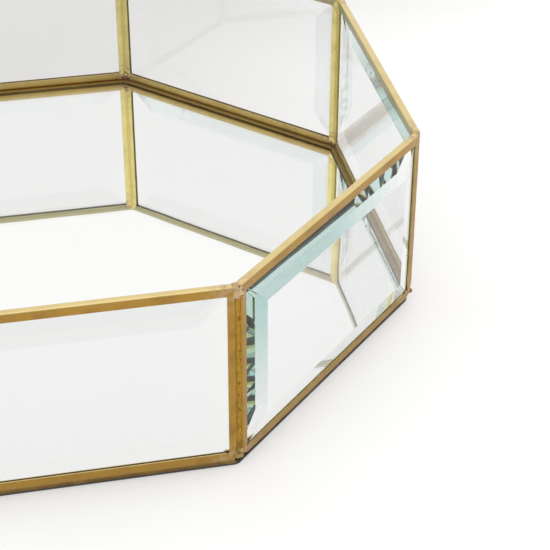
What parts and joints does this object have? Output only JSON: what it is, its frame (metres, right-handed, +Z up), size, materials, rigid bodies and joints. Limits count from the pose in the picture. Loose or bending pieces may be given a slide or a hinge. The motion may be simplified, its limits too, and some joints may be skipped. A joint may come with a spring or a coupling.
{
  "type": "octagonal vanity tray",
  "caption": "Octagonal dresser tray with a mirror floor and low walls of bevelled glass, each framed in soldered brass channel, for perfume bottles and jewellery.",
  "frame": {"origin": "centre of the felt's underside, on the surface that the tray stands on", "axes": "+Z up; the first wall faces -Y, and the walls are numbered anticlockwise seen from above, 45 degrees apart"},
  "size_m": [0.2066, 0.2066, 0.0535],
  "materials": {
    "brass": "lacquered, rolled channel with fine draw lines",
    "solder": "gilded solder, uneven and slightly dull",
    "bevelled_glass": "clear, polished bevels, faint green edge",
    "mirror": "silvered glass",
    "felt": "short black felt"
  },
  "bodies": {
    "root": {"base_came_1": "brass", "base_came_2": "brass", "base_came_3": "brass", "base_came_4": "brass", "base_came_5": "brass", "base_came_6": "brass", "base_came_7": "brass", "base_came_8": "brass", "base_mirror": "mirror", "bottom_came_1": "brass", "bottom_came_2": "brass", "bottom_came_3": "brass", "bottom_came_4": "brass", "bottom_came_5": "brass", "bottom_came_6": "brass", "bottom_came_7": "brass", "bottom_came_8": "brass", "bottom_solder": "solder", "felt_pad": "felt", "left_came_1": "brass", "left_came_2": "brass", "left_came_3": "brass", "left_came_4": "brass", "left_came_5": "brass", "left_came_6": "brass", "left_came_7": "brass", "left_came_8": "brass", "right_came_1": "brass", "right_came_2": "brass", "right_came_3": "brass", "right_came_4": "brass", "right_came_5": "brass", "right_came_6": "brass", "right_came_7": "brass", "right_came_8": "brass", "seam_solder": "solder", "side_glass_1": "bevelled_glass", "side_glass_2": "bevelled_glass", "side_glass_3": "bevelled_glass", "side_glass_4": "bevelled_glass", "side_glass_5": "bevelled_glass", "side_glass_6": "bevelled_glass", "side_glass_7": "bevelled_glass", "side_glass_8": "bevelled_glass", "top_came_1": "brass", "top_came_2": "brass", "top_came_3": "brass", "top_came_4": "brass", "top_came_5": "brass", "top_came_6": "brass", "top_came_7": "brass", "top_came_8": "brass", "top_solder": "solder"}
  },
  "joints": []
}
